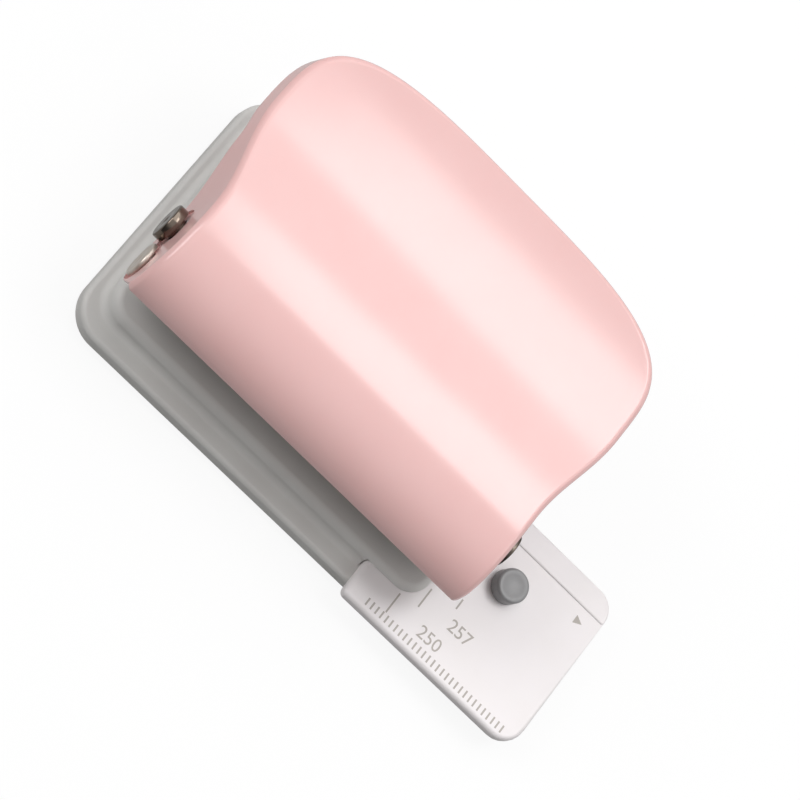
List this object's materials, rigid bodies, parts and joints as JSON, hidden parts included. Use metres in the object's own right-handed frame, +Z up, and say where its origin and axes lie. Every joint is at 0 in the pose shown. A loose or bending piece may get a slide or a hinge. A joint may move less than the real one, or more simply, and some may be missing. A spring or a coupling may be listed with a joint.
{
  "type": "hole punch",
  "caption": "Palm-pressed row hole punch for loose-leaf paper: wave-shaped handle cover, raised steel bed closed by a chip tray, sprung punches and a sliding paper gauge.",
  "frame": {"origin": "on the desk, below the middle of the row of punches", "axes": "+X along the row of punches to the paper gauge, +Y from the front to the handle's free end, +Z up"},
  "size_m": [0.0957, 0.0574, 0.0295],
  "materials": {
    "rubber": "matt",
    "tray": "satin moulded",
    "bed": "satin grey paint",
    "steel": "zinc plated",
    "bright_steel": "ground",
    "spring_steel": "drawn wire and strip",
    "guide": "die cast",
    "cover": "pale pink, polished",
    "gauge": "white, satin",
    "stud": "grey, satin"
  },
  "bodies": {
    "tray": {"chip_tray": "tray", "anti_slip_pad": "rubber"},
    "base": {"bed_plate": "bed", "die_strip": "steel", "left_side_plate": "steel", "right_side_plate": "steel", "frame_screws": "bright_steel", "punch_guide": "guide", "paper_stop": "steel", "stop_screws": "bright_steel", "pivot_pin": "bright_steel", "pivot_clip": "spring_steel", "gauge_stop_pin": "steel", "return_spring_1": "spring_steel", "return_spring_2": "spring_steel", "return_spring_3": "spring_steel", "return_spring_4": "spring_steel", "return_spring_5": "spring_steel", "return_spring_6": "spring_steel"},
    "handle": {"handle_cover": "cover", "lever_frame": "steel", "cover_screws": "bright_steel", "drive_rod": "bright_steel", "drive_clip": "spring_steel"},
    "punches": {"punch_1": "bright_steel", "punch_2": "bright_steel", "punch_3": "bright_steel", "punch_4": "bright_steel", "punch_5": "bright_steel", "punch_6": "bright_steel", "spring_washer_1": "bright_steel", "spring_washer_2": "bright_steel", "spring_washer_3": "bright_steel", "spring_washer_4": "bright_steel", "spring_washer_5": "bright_steel", "spring_washer_6": "bright_steel"},
    "gauge": {"gauge_plate": "gauge", "locating_stud": "stud"}
  },
  "joints": [
    {"name": "tray_release", "type": "slide", "parent": "tray", "child": "base", "axis": [0, 0, 1], "range_m": [0, 0.012]},
    {"name": "handle_press", "type": "hinge", "parent": "base", "child": "handle", "pos_m": [0, -0.0072, 0.0164], "axis": [-1, 0, 0], "range_deg": [0, 20], "stiffness_Nm_per_rad": 0.05, "springref_deg": -17.19},
    {"name": "punch_stroke", "type": "slide", "parent": "base", "child": "punches", "axis": [0, 0, -1], "range_m": [0, 0.0023], "stiffness_N_per_m": 2, "springref_m": -0.064, "deforming": ["return_spring_1", "return_spring_2", "return_spring_3", "return_spring_4", "return_spring_5", "return_spring_6"]},
    {"name": "gauge_slide", "type": "slide", "parent": "base", "child": "gauge", "axis": [1, 0, 0], "range_m": [0, 0.004]}
  ],
  "couplings": [
    {"joint": "punch_stroke", "follows": "handle_press", "m_per_rad": 0.0065416}
  ]
}
